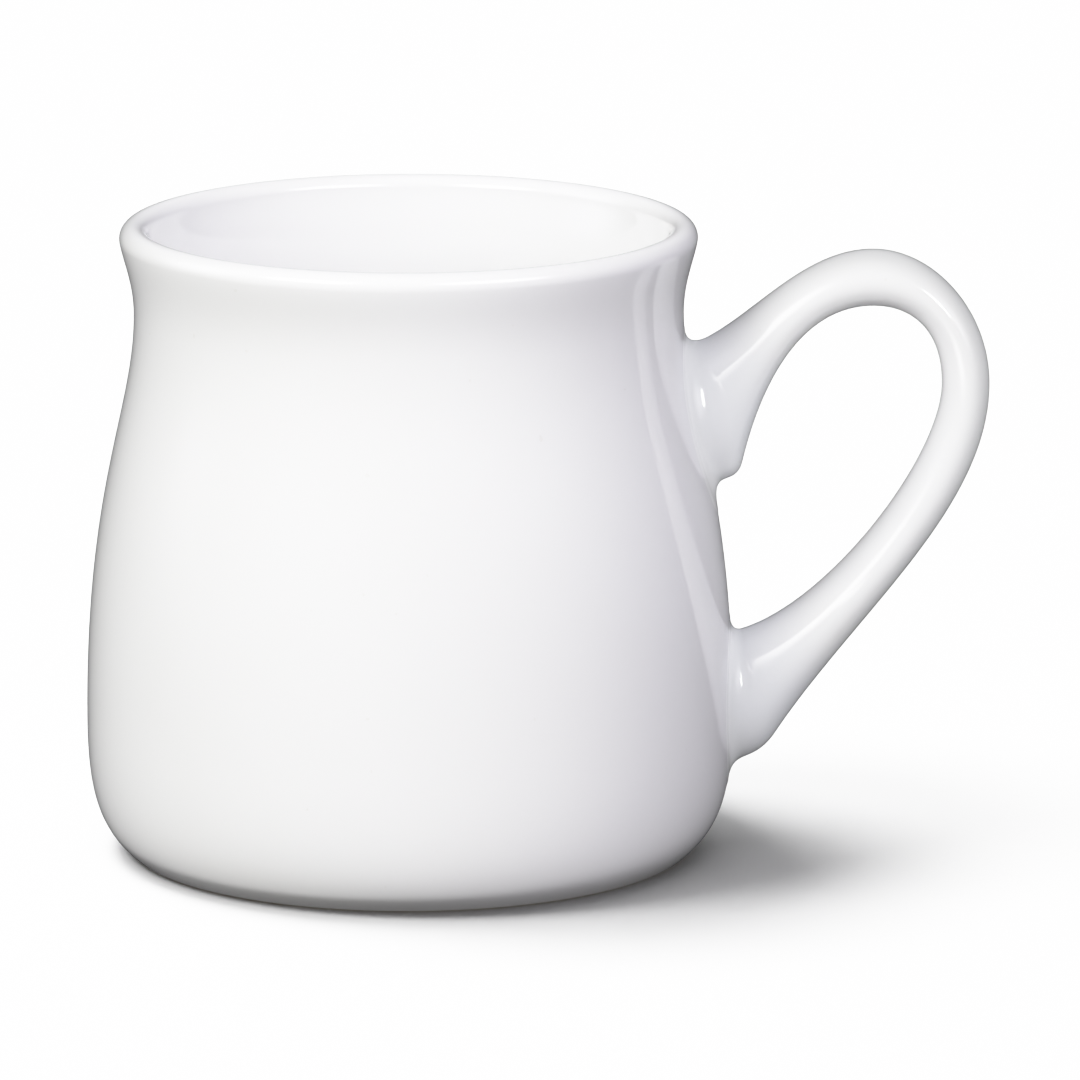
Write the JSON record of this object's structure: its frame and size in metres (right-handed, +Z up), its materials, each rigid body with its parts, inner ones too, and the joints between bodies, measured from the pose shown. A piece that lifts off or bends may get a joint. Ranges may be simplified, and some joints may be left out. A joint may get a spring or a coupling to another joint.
{
  "type": "mug",
  "caption": "Glazed ceramic mug with a soft bell shape, a rounded flared lip, a low foot ring and a looped side handle that spreads where it joins the wall.",
  "frame": {"origin": "centre of the foot ring, on the table plane", "axes": "+Z up through the middle of the cup, +X out towards the handle, +Y to the left of the handle seen from the cup"},
  "size_m": [0.131, 0.094, 0.092],
  "materials": {
    "white_glaze": "polished",
    "bare_clay": "matte",
    "joining_slip": "matte"
  },
  "bodies": {
    "root": {"clay_body": "bare_clay", "clay_handle": "bare_clay", "upper_handle_slip": "joining_slip", "lower_handle_slip": "joining_slip", "outside_glaze": "white_glaze", "inside_glaze": "white_glaze", "recess_glaze": "white_glaze", "handle_glaze": "white_glaze"}
  },
  "joints": []
}
